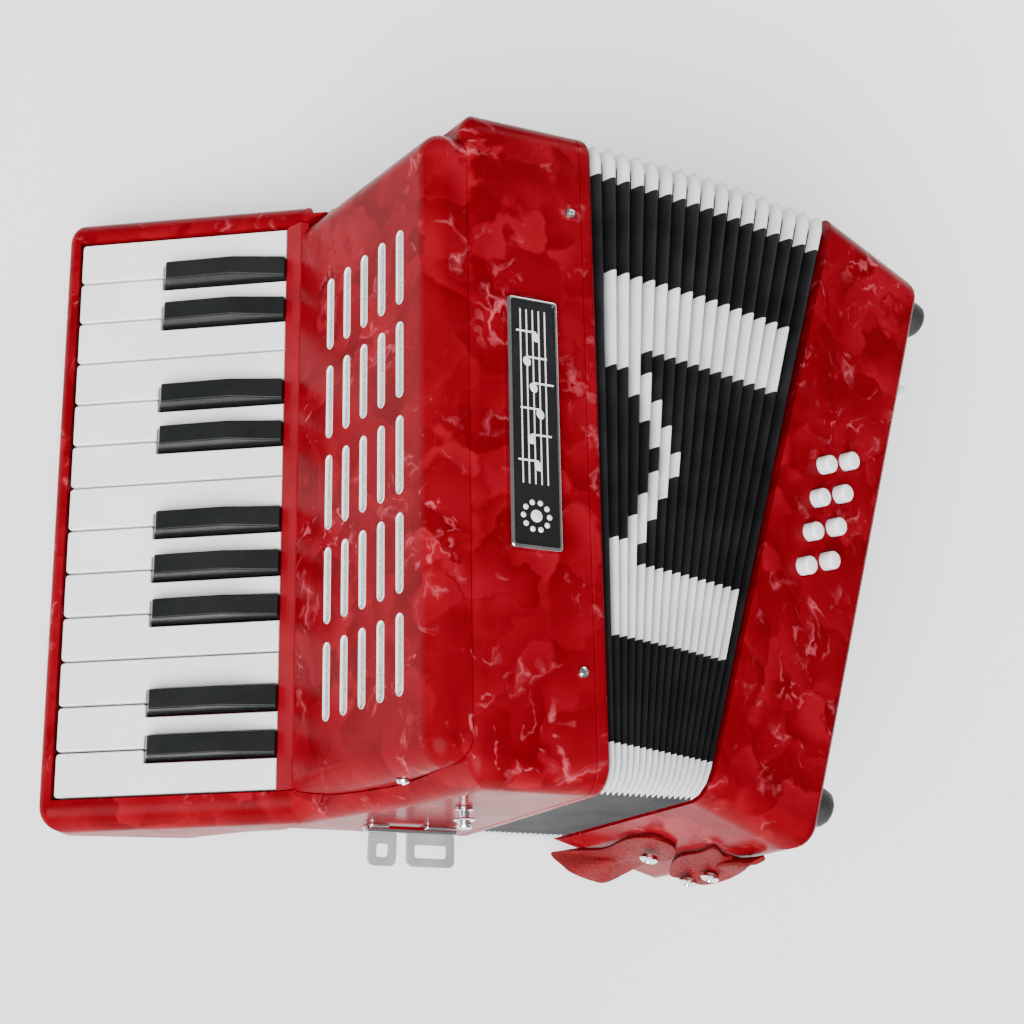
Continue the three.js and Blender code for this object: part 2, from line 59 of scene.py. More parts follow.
# ---- driving dimensions, in mm and radians ----
KEY_SLOPE = math.radians(34.2)
KEY_END_Z = -25  # the keys' front ends lie this far under the casing's back
KEY_PITCH = 18
KEY_GAP = 0.8
WHITE_COUNT = 13
BLACK_AFTER = (1, 2, 4, 5, 7, 8, 9, 11, 12)
WHITE_LENGTH = 88.2
BLACK_START = 36.2
BLACK_WIDTH = 9
AXLE = (112, -6)  # the keys' hinge, as (s, h)
HALF = 129  # half height of the body
DEPTH = 130
SEAM_X = 155  # where the casing meets the treble bellows frame
SPLIT_X = 84  # where the keyboard frame meets the casing
GAP = 0.3
FRAME_WIDTH = 5.5
BELLOWS_CLOSED = 39.5  # between the frames at the foot end, where the fan is shut
REST_FAN = math.radians(16.8)
FOLDS = 17
FOLD_DEPTH = 12
BASS_WIDTH = 57
BASS_TOP = (256, 261)  # the bass box's height at the bellows and at its outer end
BASS_SLOPE = math.radians(15.7)
END_PLATE = 2.7
LIE_TILT = math.radians(8.4)
PIVOT_X = SEAM_X + FRAME_WIDTH + BELLOWS_CLOSED
KEYS_HALF = WHITE_COUNT * KEY_PITCH / 2


def from_keys(s, h):
    """The (x, z) of a point given along the keys and up from their tops."""
    cos, sin = math.cos(KEY_SLOPE), math.sin(KEY_SLOPE)
    return s * cos - h * sin, KEY_END_Z + s * sin + h * cos


def turn_y(angle):
    return Matrix.Rotation(angle, 4, "Y")


# The key hinge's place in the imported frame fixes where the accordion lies.
MM = Matrix.Scale(0.001, 4)
axle_x, axle_z = from_keys(*AXLE)
hinge = Vector(joints["white_1_press"]["pos_m"])
BODY = Matrix.Translation(hinge) @ turn_y(LIE_TILT) @ Matrix.Translation(Vector((-axle_x, 0, -axle_z)) / 1000)


def moved(x, y, z):
    return Matrix.Translation(Vector((x, y, z)) / 1000)


KEYS = BODY @ moved(0, 0, KEY_END_Z) @ turn_y(-KEY_SLOPE)
BASS = BODY @ moved(PIVOT_X, -HALF, 0) @ Matrix.Rotation(-REST_FAN, 4, "Z")
FRONT = BASS @ moved(0, 0, DEPTH) @ turn_y(BASS_SLOPE)


# ---- materials ----
DEEP_RED = (0.118, 0.0006, 0.0034)
MID_RED = (0.160, 0.0010, 0.0052)
LIGHT_RED = (0.225, 0.0030, 0.0100)
PINK = (0.60, 0.10, 0.13)


class Look:
    """A material's node graph. Textures use object coordinates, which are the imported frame's metres."""

    def __init__(self, name, shine=0.5, metal=0.0):
        self.material = bpy.data.materials.new(name)
        self.material.use_nodes = True
        self.tree = self.material.node_tree
        self.shader = self.tree.nodes["Principled BSDF"]
        self.place = self.add("ShaderNodeTexCoord").outputs["Object"]
        self.shader.inputs["Specular IOR Level"].default_value = shine
        self.shader.inputs["Metallic"].default_value = metal

    def add(self, kind, inputs=None, **settings):
        node = self.tree.nodes.new(kind)
        for key, value in settings.items():
            setattr(node, key, value)
        for key, value in (inputs or {}).items():
            if isinstance(value, bpy.types.NodeSocket):
                self.tree.links.new(value, node.inputs[key])
            else:
                node.inputs[key].default_value = value
        return node

    def math(self, operation, a, b=0.0, c=0.5):
        return self.add("ShaderNodeMath", {0: a, 1: b, 2: c}, operation=operation).outputs[0]

    def vector(self, operation, a, b):
        return self.add("ShaderNodeVectorMath", {0: a, 1: b}, operation=operation)

    def noise(self, scale, detail=3.0, place=None, rough=0.5):
        inputs = {"Vector": place or self.place, "Scale": scale, "Detail": detail, "Roughness": rough}
        return self.add("ShaderNodeTexNoise", inputs)

    def steps(self, value, stops):
        """A colour ramp; stops are (position, colour or grey)."""
        node = self.add("ShaderNodeValToRGB", {"Fac": value})
        ramp = node.color_ramp
        while len(ramp.elements) < len(stops):
            ramp.elements.new(0.5)
        for element, (position, colour) in zip(ramp.elements, stops):
            grey = isinstance(colour, (int, float))
            element.position = position
            element.color = (colour, colour, colour, 1) if grey else (*colour, 1)
        return node.outputs["Color"]

    def mix(self, share, a, b, blend="MIX"):
        node = self.add("ShaderNodeMix", {"Factor": share}, data_type="RGBA", blend_type=blend)
        for socket, value in ((node.inputs[6], a), (node.inputs[7], b)):
            if isinstance(value, bpy.types.NodeSocket):
                self.tree.links.new(value, socket)
            else:
                socket.default_value = (*value, 1)
        return node.outputs[2]

    def paint(self, colour, rough, height=None, strength=0.2, distance=0.001):
        """Wires the colour, the roughness and the bumps up; gives the finished material."""
        for socket, value in (("Base Color", colour), ("Roughness", rough)):
            if isinstance(value, bpy.types.NodeSocket):
                self.tree.links.new(value, self.shader.inputs[socket])
            else:
                self.shader.inputs[socket].default_value = value
        if height is not None:
            bump = self.add("ShaderNodeBump", {"Height": height, "Strength": strength, "Distance": distance})
            self.tree.links.new(bump.outputs["Normal"], self.shader.inputs["Normal"])
        return self.material


def pearloid():
    """Crimson celluloid: soft clouds of leaf, and bright creases where the leaves' edges catch light."""
    look = Look("pearloid", shine=0.1)
    look.shader.inputs["IOR"].default_value = 1.25
    drift = look.vector("SUBTRACT", look.noise(26, 4).outputs["Color"], (0.5, 0.5, 0.5)).outputs[0]
    drift = look.vector("MULTIPLY", drift, (0.07, 0.07, 0.07)).outputs[0]
    warped = look.vector("ADD", look.place, drift).outputs[0]
    leaves = {"Vector": warped, "Scale": 48.0, "Smoothness": 0.25}
    cells = look.add("ShaderNodeTexVoronoi", leaves, feature="SMOOTH_F1")
    across = look.vector("SUBTRACT", warped, cells.outputs["Position"]).outputs[0]
    heading = look.vector("SUBTRACT", cells.outputs["Color"], (0.5, 0.5, 0.5)).outputs[0]
    shade = look.vector("DOT_PRODUCT", across, heading).outputs["Value"]
    shade = look.math("MULTIPLY_ADD", shade, 60.0)
    colour = look.steps(shade, [(0.15, DEEP_RED), (0.5, MID_RED), (0.95, LIGHT_RED)])
    edge = look.add("ShaderNodeTexVoronoi", {"Vector": warped, "Scale": 62.0}, feature="DISTANCE_TO_EDGE")
    thin = look.steps(edge.outputs["Distance"], [(0.0, 1.0), (0.03, 0.3), (0.12, 0.0)])
    broken = look.steps(look.noise(58, 5).outputs["Fac"], [(0.58, 0.0), (0.70, 1.0)])
    crease = look.math("MULTIPLY", thin, broken)
    streaks = {"Vector": warped, "Scale": 75.0, "Detail": 4.0, "Distortion": 1.6}
    smear = look.add("ShaderNodeTexNoise", streaks)
    smear = look.steps(smear.outputs["Fac"], [(0.60, 0.0), (0.74, 1.0)])
    patch = look.steps(look.noise(24, 2).outputs["Fac"], [(0.5, 0.0), (0.66, 1.0)])
    glow = look.math("MULTIPLY", look.math("MULTIPLY", smear, patch), 0.7)
    colour = look.mix(glow, colour, PINK)
    colour = look.mix(look.math("MULTIPLY", crease, 0.6), colour, PINK)
    gloss = look.steps(look.noise(60, 3).outputs["Fac"], [(0.3, 0.2), (0.7, 0.3)])
    return look.paint(colour, gloss, look.noise(34, 2).outputs["Fac"], 0.14, 0.0006)


def lacquer():
    look = Look("red_lacquer", shine=0.1)
    tone = look.steps(look.noise(70, 4).outputs["Fac"], [(0.3, MID_RED), (0.7, LIGHT_RED)])
    return look.paint(tone, 0.34, look.noise(900, 2).outputs["Fac"], 0.05, 0.0002)


def key_plastic(name, dark, light, rough, shine):
    look = Look(name, shine)
    tone = look.steps(look.noise(35, 4).outputs["Fac"], [(0.3, dark), (0.7, light)])
    scuff = look.noise(220, 5, rough=0.7).outputs["Fac"]
    gloss = look.steps(scuff, [(0.35, rough), (0.75, rough + 0.12)])
    return look.paint(tone, gloss, look.noise(500, 3).outputs["Fac"], 0.04, 0.0002)


def metal(name, tone, rough):
    look = Look(name, metal=1.0)
    grain = 400
    dark = tuple(0.86 * c for c in tone)
    shade = look.steps(look.noise(grain * 0.4, 4).outputs["Fac"], [(0.3, dark), (0.7, tone)])
    gloss = look.steps(look.noise(grain, 4).outputs["Fac"], [(0.3, rough), (0.75, rough + 0.14)])
    return look.paint(shade, gloss, look.noise(grain * 1.5, 2).outputs["Fac"], 0.06, 0.0002)


def woven_mesh():
    look = Look("mesh", metal=0.2)
    weave = look.add("ShaderNodeMapping", {"Vector": look.place, "Rotation": (0, 0.5, 0.785)}).outputs[0]
    grid = look.add("ShaderNodeTexVoronoi", {"Vector": weave, "Scale": 800.0, "Randomness": 0.6})
    tone = look.steps(grid.outputs["Distance"], [(0.15, (0.16, 0.165, 0.165)), (0.6, (0.46, 0.47, 0.47))])
    return look.paint(tone, 0.5, grid.outputs["Distance"], 0.7, 0.0006)


def rubber():
    look = Look("rubber")
    tone, rough, grain = (0.010, 0.010, 0.010), 0.5, 500
    light = tuple(1.7 * c for c in tone)
    shade = look.steps(look.noise(grain * 0.2, 4).outputs["Fac"], [(0.3, tone), (0.75, light)])
    gloss = look.steps(look.noise(grain * 0.5, 3).outputs["Fac"], [(0.3, rough), (0.7, rough + 0.15)])
    return look.paint(shade, gloss, look.noise(grain, 3).outputs["Fac"], 0.3, 0.0004)


def cloth(name, dark, light, rough):
    look = Look(name, shine=0.22)
    shade = look.steps(look.noise(55, 4).outputs["Fac"], [(0.3, dark), (0.7, light)])
    threads = look.add("ShaderNodeTexVoronoi", {"Vector": look.place, "Scale": 1400.0, "Randomness": 0.5})
    return look.paint(shade, rough, threads.outputs["Distance"], 0.18, 0.0004)


def leather():
    look = Look("leather", shine=0.14)
    hide = {"Vector": look.place, "Scale": 620.0, "Randomness": 1.0}
    grain = look.add("ShaderNodeTexVoronoi", hide, feature="DISTANCE_TO_EDGE")
    pores = look.steps(grain.outputs["Distance"], [(0.02, 0.0), (0.22, 1.0)])
    dark, light = (0.11, 0.0010, 0.0022), (0.17, 0.0020, 0.0040)
    tone = look.steps(look.noise(90, 5).outputs["Fac"], [(0.3, dark), (0.7, light)])
    colour = look.mix(look.math("MULTIPLY_ADD", pores, 1.0), (0.06, 0.0005, 0.001), tone)
    return look.paint(colour, look.steps(pores, [(0, 0.62), (1, 0.44)]), pores, 0.35, 0.0005)


def wood():
    look = Look("wood")
    long = look.add("ShaderNodeMapping", {"Vector": look.place, "Scale": (60, 4, 60)}).outputs[0]
    rings = look.noise(4, 5, long).outputs["Fac"]
    tone = look.steps(rings, [(0.35, (0.36, 0.2, 0.09)), (0.6, (0.58, 0.38, 0.2))])
    return look.paint(tone, 0.55, rings, 0.2, 0.0004)


def floor_look():
    look = Look("floor")
    tone = look.steps(look.noise(3, 4).outputs["Fac"], [(0.3, (0.93, 0.93, 0.93)), (0.7, (0.96, 0.96, 0.96))])
    return look.paint(tone, 0.85)


looks = {
    "pearloid": pearloid(),
    "red_lacquer": lacquer(),
    "ivory": key_plastic("ivory", (0.74, 0.745, 0.755), (0.82, 0.825, 0.835), 0.3, 0.5),
    "ebony": key_plastic("ebony", (0.007, 0.008, 0.008), (0.013, 0.014, 0.014), 0.22, 0.12),
    "rubber": rubber(),
    "black_plate": key_plastic("black_plate", (0.005, 0.005, 0.006), (0.009, 0.009, 0.010), 0.25, 0.3),
    "leather": leather(),
    "mesh": woven_mesh(),
    "wood": wood(),
    "aluminium": metal("aluminium", (0.62, 0.64, 0.66), 0.32),
    "bellows_cloth": cloth("bellows_cloth", (0.006, 0.006, 0.007), (0.013, 0.013, 0.014), 0.36),
    "chrome": metal("chrome", (0.80, 0.81, 0.83), 0.08),
}
bellows_white = cloth("bellows_white", (0.60, 0.61, 0.62), (0.72, 0.73, 0.74), 0.42)
# Painted sheen: a lighter grey cloth that stands for the light caught near the folds' crests on the foot
# side.
bellows_painted_sheen = cloth("bellows_painted_sheen", (0.030, 0.030, 0.032), (0.055, 0.055, 0.057), 0.4)
silver = cloth("silver", (0.66, 0.66, 0.67), (0.76, 0.76, 0.77), 0.3)
dull_steel = cloth("dull_steel", (0.20, 0.20, 0.21), (0.32, 0.32, 0.33), 0.3)


# ---- mesh building ----
def ccw(outline):
    """The outline counter-clockwise, each point with its corner radius."""
    area = sum(a[0] * b[1] - b[0] * a[1] for a, b in zip(outline, outline[1:] + outline[:1]))
    full = [(*p, 0)[:3] for p in outline]
    return full if area > 0 else full[::-1]


def corners(outline):
    """(point, radius, direction in, direction out, left or right turn) of each corner."""
    count = len(outline)
    for i, (x, y, r) in enumerate(outline):
        here = Vector((x, y))
        into = (here - Vector(outline[i - 1][:2])).normalized()
        out = (Vector(outline[(i + 1) % count][:2]) - here).normalized()
        yield here, r, into, out, into.x * out.y - into.y * out.x


def inset(outline, by):
    """The outline moved inwards, with the radii that its corners then have."""
    result = []
    for here, r, into, out, turn in corners(outline):
        left = Vector((-into.y - out.y, into.x + out.x)) / (1 + into.dot(out))
        radius = 0 if r == 0 else max(r - by, 0.05) if turn > 0 else r + by
        result.append((*(here + left * by), radius))
    return result


def rounded(outline, steps):
    points = []
    for here, r, into, out, turn in corners(outline):
        if r == 0:
            points.append(here)
            continue
        angle = math.atan2(turn, into.dot(out))
        reach = r * math.tan(abs(angle) / 2)
        side = Vector((-into.y, into.x)) * math.copysign(r, turn)
        start = here - into * reach
        middle = start + side
        for k in range(steps + 1):
            spoke = (start - middle).to_3d()
            spoke.rotate(Matrix.Rotation(angle * k / steps, 3, "Z"))
            points.append(middle + spoke.to_2d())
    return points


def rectangle(x0, y0, x1, y1, r=0):
    return [(x0, y0, r), (x1, y0, r), (x1, y1, r), (x0, y1, r)]


AXES = {
    "x": lambda a, b, t: (t, a, b),
    "y": lambda a, b, t: (a, t, b),
    "z": lambda a, b, t: (a, b, t),
}


def skin_rings(bm, rings, closed=True):
    """Walls between rings of points, and a cap on each end."""
    made = [[bm.verts.new(p) for p in ring] for ring in rings]
    count = len(made[0])
    for low, high in zip(made, made[1:]):
        for k in range(count):
            bm.faces.new((low[k], low[(k + 1) % count], high[(k + 1) % count], high[k]))
    if closed:
        bm.faces.new(made[0][::-1])
        bm.faces.new(made[-1])
    return made


def prism(outline, low, high, axis="z", ends=(0, 0), steps=5, bm=None):
    """An outline of (a, b, corner radius) drawn out along an axis, its two ends rounded."""
    bm = bm or bmesh.new()
    outline = ccw(outline)
    levels = []
    turns = [k / steps * math.pi / 2 for k in range(steps + 1)]
    for end, radius, sign in ((low, ends[0], 1), (high, ends[1], -1)):
        stack = [(end, 0)]
        if radius:
            stack = [(end + sign * radius * (1 - math.cos(t)), radius * (1 - math.sin(t))) for t in turns]
        levels += stack if sign > 0 else stack[::-1]
    rings = [[AXES[axis](*p, at) for p in rounded(inset(outline, by), steps)] for at, by in levels]
    skin_rings(bm, rings)
    return bm


def lathe(profile, sides=24, bm=None, at=None):
    """A closed turned solid; profile is (radius, height) from the axis round to the axis again."""
    bm = bm or bmesh.new()
    at = at or Matrix.Identity(4)
    poles = [bm.verts.new(at @ Vector((0, 0, h))) for r, h in (profile[0], profile[-1])]
    rings = []
    for r, h in profile[1:-1]:
        spokes = [2 * math.pi * k / sides for k in range(sides)]
        rings.append([bm.verts.new(at @ Vector((r * math.cos(t), r * math.sin(t), h))) for t in spokes])
    for low, high in zip(rings, rings[1:]):
        for k in range(sides):
            bm.faces.new((low[k], low[(k + 1) % sides], high[(k + 1) % sides], high[k]))
    for k in range(sides):
        bm.faces.new((poles[0], rings[0][(k + 1) % sides], rings[0][k]))
        bm.faces.new((poles[1], rings[-1][k], rings[-1][(k + 1) % sides]))
    return bm


def slice_at(bm, x, keep):
    """Cuts the solid at a plane of constant x and closes it; keep is +1 or -1, the side that stays."""
    geometry = bm.verts[:] + bm.edges[:] + bm.faces[:]
    bmesh.ops.bisect_plane(bm, geom=geometry, plane_co=(x, 0, 0), plane_no=(-keep, 0, 0), clear_outer=True)
    rim = [edge for edge in bm.edges if edge.is_boundary]
    bmesh.ops.holes_fill(bm, edges=rim, sides=0)
    return bm


def finish_mesh(obj, angle=38):
    obj.data.shade_smooth()
    obj.data.set_sharp_from_angle(angle=math.radians(angle))
    even = obj.modifiers.new("even_normals", "WEIGHTED_NORMAL")
    even.keep_sharp = True


def piece(name, bm, space, look, angle=38):
    bm.transform(space @ MM)
    bmesh.ops.remove_doubles(bm, verts=bm.verts, dist=1e-6)
    bmesh.ops.recalc_face_normals(bm, faces=bm.faces)
    mesh = bpy.data.meshes.new(name)
    bm.to_mesh(mesh)
    bm.free()
    obj = bpy.data.objects.new(name, mesh)
    scene.collection.objects.link(obj)
    for material in look if isinstance(look, (list, tuple)) else (look,):
        mesh.materials.append(material)
    finish_mesh(obj, angle)
    return obj


def cut(obj, tool, space=None, operation="DIFFERENCE"):
    """Takes a solid, or several that don't touch, out of a piece; or keeps what is common to both."""
    if not isinstance(tool, bpy.types.Object):
        tool = piece(obj.name + "_cut", tool, space, obj.data.materials[0])
    obj.modifiers.clear()
    tool.modifiers.clear()
    take = obj.modifiers.new("cut", "BOOLEAN")
    take.object = tool
    take.operation = operation
    take.solver = "EXACT"
    bpy.context.view_layer.update()
    result = bpy.data.meshes.new_from_object(obj.evaluated_get(bpy.context.evaluated_depsgraph_get()))
    obj.modifiers.clear()
    obj.data = result
    result.name = obj.name
    bpy.data.objects.remove(tool)
    finish_mesh(obj)
    return obj


def joins(obj, body, slot_name, *nodes):
    """The piece rides on a body and stands for its CAD nodes, which it hides; slot_name is not used."""
    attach(obj, body)
    if nodes:
        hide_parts(*nodes)
    return obj


# ---- treble body ----
def on_floor(x):
    touch = 330  # the bass box's far back corner, where the floor meets it
    return x, -(touch - x) * math.tan(LIE_TILT)


SHOULDER = [(106.4, DEPTH, 6), (103.5, 110, 30), (98.5, 85, 30), (88, 60, 20)]
KEYBOARD_OUTLINE = [
    (*on_floor(5.4), 7),
    (*on_floor(60), 12),
    (78, -12, 10),
    (92, 0),
    (120, 0),
    (120, 60),
    (88, 60),
    from_keys(93.5, 1),
    (*from_keys(-6.4, 1), 5),
]
CASING_OUTLINE = [(60, 0), (180, 0), (180, DEPTH), *SHOULDER, from_keys(93.5, 1)]
COVER_LOW, COVER_HIGH = -122.5, 118.5
BED_DEPTH = 15
END_ROUND = 11
LIP = (76.8, 33)
RIDGE = (91.5, 126)
CREASE_X = 107.4


def cover_block(name, grow):
    """The grille cover as a full block, or the seat for it when it is grown a little.

    Its face is rounded off at both ends, and so are its corners beside the crease."""
    front, ridge_round, crease_round = DEPTH - 1 + grow, 9, 10
    face = [
        (LIP[0] - grow, LIP[1] - grow),
        (RIDGE[0] + 0.5 - grow, front, ridge_round),
        (170, front),
        (170, -60),
        (LIP[0] - 8 - grow, -60),
    ]
    low, high = COVER_LOW - grow, COVER_HIGH + grow
    obj = piece(name, prism(face, low, high, "y", (10, 11), 7), BODY, looks["pearloid"])
    right = CREASE_X + grow
    plan = [(40, low), (right, low, crease_round), (right, high, crease_round), (40, high)]
    cut(obj, prism(plan, -50, 150, steps=7), BODY, "INTERSECT")
    lip = LIP[1] - grow
    under = [(40, lip), (LIP[0] + 2, lip), (94, 20), (right, 84), (right + 1, -80), (40, -80)]
    return cut(obj, prism(under, -HALF, HALF, "y"), BODY)


def chin_relief():
    """Stands the chin end back behind the cover, which hides it from the front."""
    outline = [(140, 6), (130, 6), (117.5, 45), (116.5, 60), (116.5, 125), (140, 125)]
    return prism(outline, 80, 105.5, "x")


def keyboard_shell():
    obj = piece(
        "keyboard_shell",
        slice_at(prism(KEYBOARD_OUTLINE, -HALF, HALF, "y", (10, 10), 7), SPLIT_X - GAP, -1),
        BODY,
        looks["pearloid"],
    )
    well = rectangle(-0.8, -BED_DEPTH, 150, 70)
    cut(obj, prism(well, -KEYS_HALF - 0.6, KEYS_HALF + 0.6, "y"), KEYS)
    cut(obj, cover_block("cover_seat", GAP))
    cut(obj, chin_relief(), BODY)
    hollow = [(24, -40.5), (59, -35.2), (75, -9), (89, 2), (89, 15), (24, -27)]
    cut(obj, prism(hollow, -113, 113, "y"), BODY)
    return joins(obj, "treble", "pearloid", "keyboard_frame")


def casing_shell():
    block = prism(CASING_OUTLINE, -HALF, HALF, "y", (END_ROUND, END_ROUND), 7)
    block = slice_at(slice_at(block, SPLIT_X, 1), SEAM_X - GAP, -1)
    obj = piece("casing_shell", block, BODY, looks["pearloid"])
    wall = 4
    behind = rectangle(CREASE_X + 5, wall, 170, DEPTH - wall)
    cut(obj, prism(behind, -HALF + 6, HALF - 6, "y"), BODY)
    under = [(60, wall), (CREASE_X + 6, wall), (CREASE_X + 6, DEPTH - wall), (90, 100), (60, 60)]
    cut(obj, prism(under, -HALF + 16, HALF - 16, "y"), BODY)
    cut(obj, cover_block("cover_seat", GAP))
    cut(obj, chin_relief(), BODY)
    return joins(obj, "treble", "pearloid", "treble_casing")


# ---- grille cover ----
GRILLE = BODY @ moved(LIP[0], 0, LIP[1]) @ turn_y(-math.atan2(RIDGE[1] - LIP[1], RIDGE[0] - LIP[0]))
SLOT_WIDTH = 4.8
SLOT_LENGTH = 30


def slot_places():
    for column in range(5):
        for row in range(5):
            yield 24.8 + 13 * column, 82 - 37 * row


def slot_outline(a, top, width):
    """A slot with round ends; a narrower one keeps the same margin all round."""
    r = width / 2
    spare = (SLOT_WIDTH - width) / 2
    return rectangle(a - r, top - SLOT_LENGTH + spare, a + r, top - spare, r - 0.02)


def grille_cover():
    obj = cover_block("grille_shell", 0)
    skin = 2.5
    behind = [
        (LIP[0] + 4, 0),
        (LIP[0] + 4, LIP[1] + 1),
        (91.5, 60),
        (102, 86),
        (106.6, 113),
        (CREASE_X + 3, 112),
        (CREASE_X + 3, 0),
    ]
    cut(obj, prism(behind, COVER_LOW + 5, COVER_HIGH - 5, "y"), BODY)
    inside = [
        (LIP[0] + 2.8, 20),
        (LIP[0] + 2.8, LIP[1] + 2),
        (RIDGE[0] + 2.3, RIDGE[1] - 3.5),
        (96.6, DEPTH - 4.5),
        (113, DEPTH - 4.5),
        (113, 20),
    ]
    cut(obj, prism(inside, COVER_LOW + 6, COVER_HIGH - 6, "y"), BODY)
    cutters = bmesh.new()
    for a, top in slot_places():
        prism(slot_outline(a, top, SLOT_WIDTH), -2 * skin, skin, "z", bm=cutters)
    cut(obj, cutters, GRILLE)
    return joins(obj, "treble", "pearloid", "grille_cover")


def slot_liners():
    """Bright strips of metal that line each slot, with woven mesh pressed into them."""
    bm = bmesh.new()
    inserts = bmesh.new()
    for a, top in slot_places():
        prism(slot_outline(a, top, 4.2), -1.2, -0.6, "z", steps=4, bm=inserts)
        rings = []
        for width, h in ((4.72, -1.2), (4.72, 0.12), (4.5, 0.3), (4.0, 0.12), (3.9, -1.2)):
            rings.append([(x, y, h) for x, y in rounded(ccw(slot_outline(a, top, width)), 5)])
        made = skin_rings(bm, rings, closed=False)
        count = len(made[0])
        for k in range(count):
            bm.faces.new((made[-1][k], made[-1][(k + 1) % count], made[0][(k + 1) % count], made[0][k]))
    joins(piece("slot_mesh", inserts, GRILLE, looks["mesh"]), "treble", "mesh")
    joins(piece("slot_liners", bm, GRILLE, silver), "treble", "chrome")


# ---- name plate with a plain musical ornament ----
PLATE = (121.4, 142, -44.5, 52.2)
PLATE_THICK = 2.2


def plate_outline(by, r=1.6):
    x0, x1, y0, y1 = PLATE
    return rectangle(x0 + by, y0 + by, x1 - by, y1 - by, r)


def name_plate():
    base = DEPTH + GAP
    panel = prism(plate_outline(0.5), base, base + PLATE_THICK, ends=(0, 0.3))
    obj = piece("name_plate_panel", panel, BODY, looks["black_plate"])
    joins(obj, "treble", "black_plate", "name_plate")
    border = prism(plate_outline(0), base, base + 3, ends=(0, 0.9))
    rim = piece("name_plate_rim", border, BODY, looks["chrome"])
    cut(rim, prism(plate_outline(1.3, 1), base - 1, base + 5), BODY)
    joins(rim, "treble", "chrome")


def ornament():
    """Five stave lines along the plate with a row of notes, over a ring of beads."""
    bm = bmesh.new()
    top = DEPTH + GAP + PLATE_THICK
    middle = (PLATE[0] + PLATE[1]) / 2
    spacing, half_line, half_stem, stem_length = 2.5, 0.22, 0.3, 8
    for line in range(5):
        x = middle + (line - 2) * spacing
        prism(rectangle(x - half_line, -20, x + half_line, 47.5), top - 0.1, top + 0.25, bm=bm)
    notes = [(-13, 1.25), (-3, -1.25), (7, 2.5), (17, 0), (27, -2.5), (37, 1.25)]
    oval = Matrix.Rotation(0.4, 4, "Z") @ Matrix.Diagonal((1.5, 2.0, 1, 1))
    for y, x in notes:
        head = Matrix.Translation((middle + x, y, top)) @ oval
        lathe([(0, -0.1), (0.8, -0.1), (1, 0.1), (0.8, 0.45), (0, 0.5)], 16, bm, head)
        away = math.copysign(1, -x) if x else 1
        stem = (middle + x, middle + x + away * stem_length)
        edge = y + 1.75
        outline = rectangle(min(stem), edge - half_stem, max(stem), edge + half_stem)
        prism(outline, top, top + 0.38, bm=bm)
    beads, ring_y, ring_r = 10, -32, 5.2
    for k in range(beads):
        turn = 2 * math.pi * k / beads
        at = Matrix.Translation((middle + ring_r * math.cos(turn), ring_y + ring_r * math.sin(turn), top))
        lathe([(0, -0.1), (1.0, -0.1), (1.05, 0.2), (0.6, 0.5), (0, 0.55)], 12, bm, at)
    at = Matrix.Translation((middle, ring_y, top))
    lathe([(0, -0.1), (2.2, -0.1), (2.3, 0.2), (1.4, 0.5), (0, 0.6)], 20, bm, at)
    joins(piece("plate_ornament", bm, BODY, silver), "treble", "chrome")


# ---- keys ----
def boundary_y(count):
    return KEYS_HALF - count * KEY_PITCH


def lever(bm, y, start):
    pad = SEAM_X - 37.5

    def to_keys(x, z):
        cos, sin = math.cos(KEY_SLOPE), math.sin(KEY_SLOPE)
        return x * cos + (z - KEY_END_Z) * sin, -x * sin + (z - KEY_END_Z) * cos

    arm = [(start, -3.4), (start, -9), (117, -9), to_keys(pad - 2, 50), to_keys(pad - 2, 78)]
    arm += [to_keys(pad - 4.5, 78), to_keys(pad - 5, 53), (108, -3.4)]
    prism(arm, y - 3, y + 3, "y", bm=bm)


def white_key(count):
    top = boundary_y(count - 1) - KEY_GAP / 2
    bottom = boundary_y(count) + KEY_GAP / 2
    notch = BLACK_WIDTH / 2 + 1 - KEY_GAP / 2
    waist = BLACK_START - 0.7
    upper = top - (notch if count - 1 in BLACK_AFTER else 0)
    lower = bottom + (notch if count in BLACK_AFTER else 0)
    outline = [(0, bottom, 1.4)]
    if lower != bottom:
        outline += [(waist, bottom, 0.8), (waist, lower, 0.8)]
    outline += [(WHITE_LENGTH, lower), (WHITE_LENGTH, upper)]
    if upper != top:
        outline += [(waist, upper, 0.8), (waist, top, 0.8)]
    outline += [(0, top, 1.4)]
    bm = prism(outline, -3.3, 0, ends=(0, 0.7), steps=3)
    front = [(0, bottom + 0.1, 1.2), (3, bottom + 0.1), (3, top - 0.1), (0, top - 0.1, 1.2)]
    prism(front, -9.2, -3.25, bm=bm, steps=3)
    lever(bm, (upper + lower) / 2, 4)
    obj = piece(f"white_key_top_{count}", bm, KEYS, looks["ivory"], 30)
    joins(obj, f"white_{count}", "ivory", f"white_key_{count}")


def black_key(number, count):
    y = boundary_y(count)
    bm = bmesh.new()
    top = 8
    side = [
        (BLACK_START, -3.2),
        (BLACK_START, 0.8, 0.6),
        (BLACK_START + 2.9, 7.2, 1.0),
        (67, top, 0.8),
        (WHITE_LENGTH, 3.2),
        (WHITE_LENGTH, -3.2),
    ]
    half = BLACK_WIDTH / 2
    prism(side, y - half, y + half, "y", (0.7, 0.7), 4, bm)
    for vert in bm.verts:  # the flanks lean in towards the top
        lean = 1 - 0.13 * max(vert.co.z, 0) / top
        vert.co.y = y + (vert.co.y - y) * lean
    lever(bm, y, BLACK_START + 1)
    obj = piece(f"black_key_top_{number}", bm, KEYS, looks["ebony"], 30)
    joins(obj, f"black_{number}", "ebony", f"black_key_{number}")


